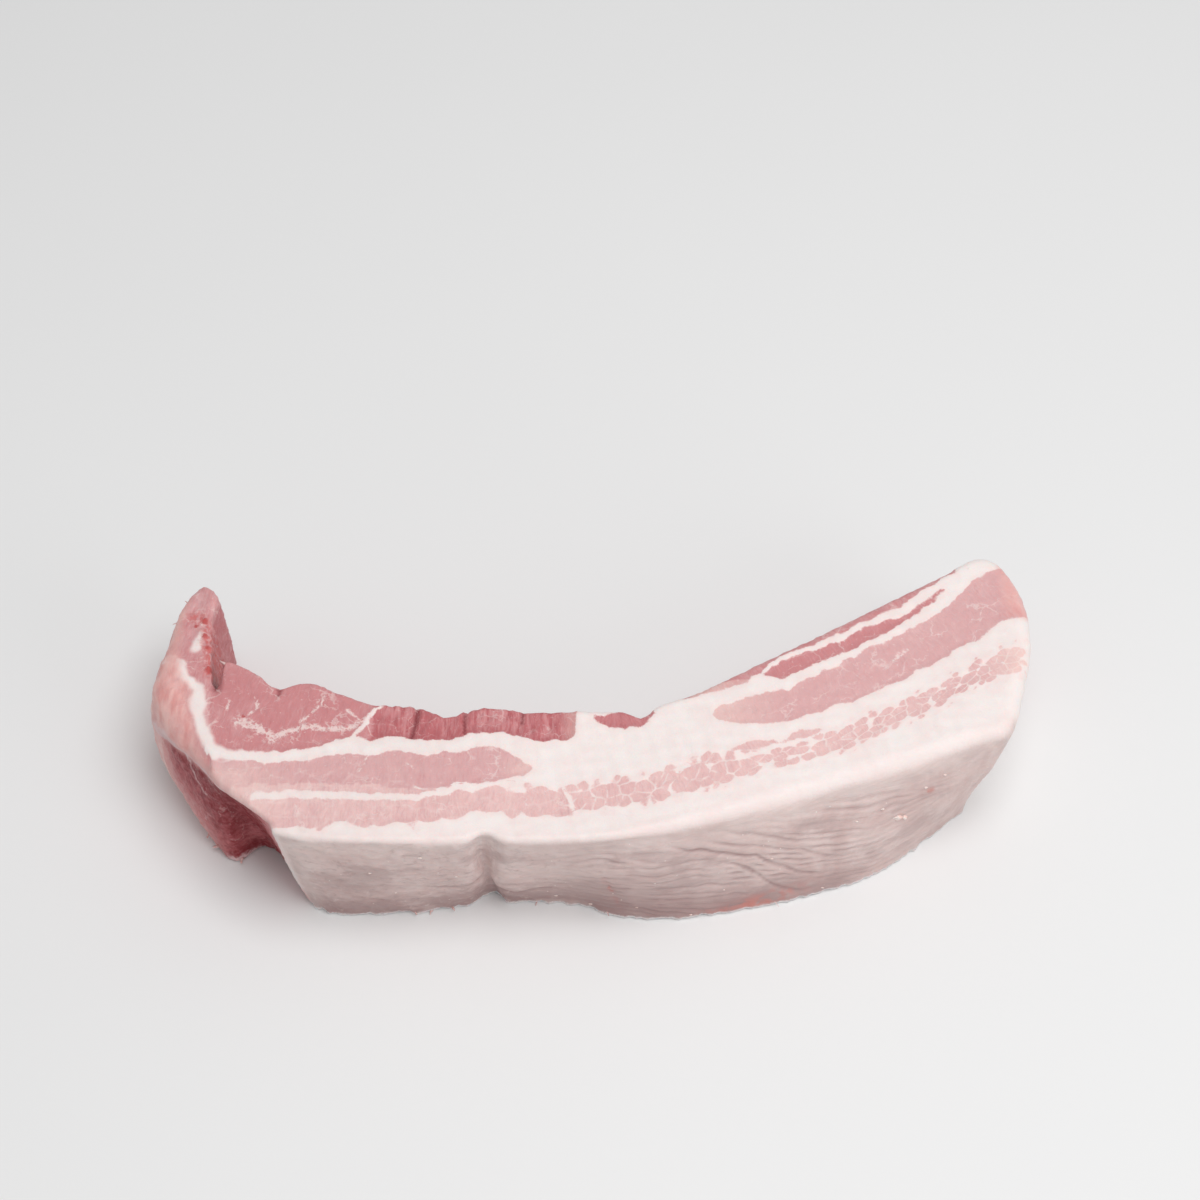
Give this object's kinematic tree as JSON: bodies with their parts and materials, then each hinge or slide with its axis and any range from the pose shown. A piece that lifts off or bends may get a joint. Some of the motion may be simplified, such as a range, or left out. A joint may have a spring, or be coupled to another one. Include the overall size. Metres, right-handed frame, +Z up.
{
  "type": "pork belly slab",
  "caption": "Raw rind-on pork belly strip with layered lean and fat, bowed in plan, lying on a cut face with the rind as one long wall.",
  "frame": {"origin": "centre of the bounding box's lower face, level with the lower cut face", "axes": "+X along the strip towards the teat end, +Y from the rind towards the rib side, +Z up from one cut face to the other"},
  "size_m": [0.2964, 0.1188, 0.049],
  "materials": {
    "belly_meat": "moist raw lean and fat with a smooth rind"
  },
  "bodies": {
    "root": {"pork_belly_slab": "belly_meat"}
  },
  "joints": []
}
